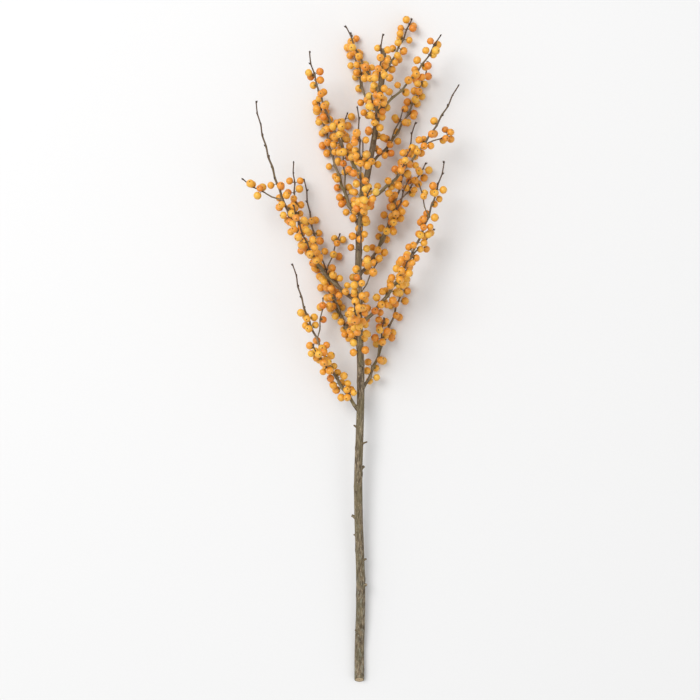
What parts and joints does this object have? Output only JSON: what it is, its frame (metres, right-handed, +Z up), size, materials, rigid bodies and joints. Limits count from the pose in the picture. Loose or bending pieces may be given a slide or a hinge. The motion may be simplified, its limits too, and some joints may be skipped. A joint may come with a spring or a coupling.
{
  "type": "winterberry branch",
  "caption": "Cut winterberry branch lying on a surface: a straight grey leader with ascending side shoots covered in round orange berries.",
  "frame": {"origin": "on the surface the branch lies on, at the middle of the flat spot under the cut end of the leader", "axes": "+Y from the cut end to the tip, +X to the right seen from above, +Z up from the surface"},
  "size_m": [0.2713, 0.8486, 0.144],
  "materials": {
    "bark": "matt grey-brown bark",
    "berries": "satin orange berry skin, on thin twigs with grey-brown bark"
  },
  "bodies": {
    "root": {"leader": "bark", "side_shoot_01": "berries", "side_shoot_02": "berries", "side_shoot_03": "berries", "side_shoot_04": "berries", "side_shoot_05": "berries", "side_shoot_06": "berries", "side_shoot_07": "berries", "side_shoot_08": "berries", "side_shoot_09": "berries", "side_shoot_10": "berries", "side_shoot_11": "berries", "side_shoot_12": "berries", "side_shoot_13": "berries", "side_shoot_14": "berries", "side_shoot_15": "berries", "side_shoot_16": "berries", "side_shoot_17": "berries"}
  },
  "joints": []
}
